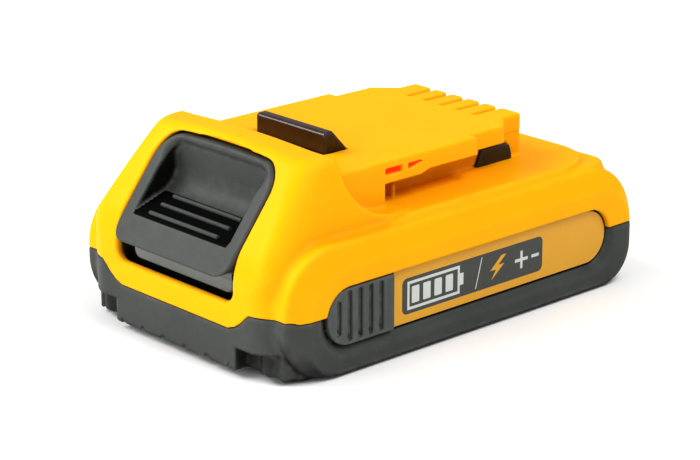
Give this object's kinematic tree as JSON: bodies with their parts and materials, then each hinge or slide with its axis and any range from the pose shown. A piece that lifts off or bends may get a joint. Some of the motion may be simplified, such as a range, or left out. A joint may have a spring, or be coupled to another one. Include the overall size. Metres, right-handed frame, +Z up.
{
  "type": "power tool battery pack",
  "caption": "Slide-on battery pack for a cordless tool: low ribbed case with two top rails, end terminals, side label panels and a thumb button that pulls down a sprung latch wedge.",
  "frame": {"origin": "bottom centre of the whole pack, on the surface it stands on", "axes": "+X from the latch end to the terminal end, +Y to the left seen from the latch end, +Z up through the tool rails"},
  "size_m": [0.118, 0.075, 0.0479],
  "materials": {
    "yellow_shell": "satin glass-filled nylon, fine spark-eroded grain",
    "black_shell": "matt glass-filled nylon, fine grain",
    "latch_plastic": "matt moulded plastic, polished at the thumb",
    "spring_steel": "bright drawn wire",
    "grip_rubber": "matt soft-touch elastomer",
    "label_film": "printed polyester film, satin",
    "bumper_rubber": "matt elastomer",
    "screw_steel": "zinc plated",
    "frame_plastic": "matt moulded plastic",
    "cell_sleeve": "shrink sleeve over a steel can",
    "nickel": "rolled nickel strip",
    "insulating_card": "pressed insulating card",
    "board": "solder resist over glass laminate",
    "component_plastic": "moulded epoxy",
    "contact_metal": "copper alloy, lightly plated"
  },
  "bodies": {
    "pack": {"upper_housing": "yellow_shell", "lower_housing": "black_shell", "latch_spring_right": "spring_steel", "latch_spring_left": "spring_steel", "grip_pad_right": "grip_rubber", "grip_pad_left": "grip_rubber", "label_right": "label_film", "label_left": "label_film", "rail_bumper_right": "bumper_rubber", "rail_bumper_left": "bumper_rubber", "housing_screws": "screw_steel", "cell_frame_right": "frame_plastic", "cell_frame_left": "frame_plastic", "cell_1": "cell_sleeve", "cell_2": "cell_sleeve", "cell_3": "cell_sleeve", "cell_4": "cell_sleeve", "cell_5": "cell_sleeve", "strip_negative": "nickel", "strip_link_12": "nickel", "strip_link_23": "nickel", "strip_link_34": "nickel", "strip_link_45": "nickel", "strip_positive": "nickel", "insulator_right": "insulating_card", "insulator_left": "insulating_card", "circuit_board": "board", "board_components": "component_plastic", "terminal_block": "frame_plastic", "contact_negative": "contact_metal", "contact_positive": "contact_metal", "signal_contacts": "contact_metal", "thermistor": "component_plastic"},
    "latch": {"release_latch": "latch_plastic"}
  },
  "joints": [
    {"name": "latch_slide", "type": "slide", "parent": "pack", "child": "latch", "axis": [0, 0, -1], "range_m": [0, 0.005], "stiffness_N_per_m": 1600, "springref_m": -0.004, "deforming": ["latch_spring_right", "latch_spring_left"]}
  ]
}
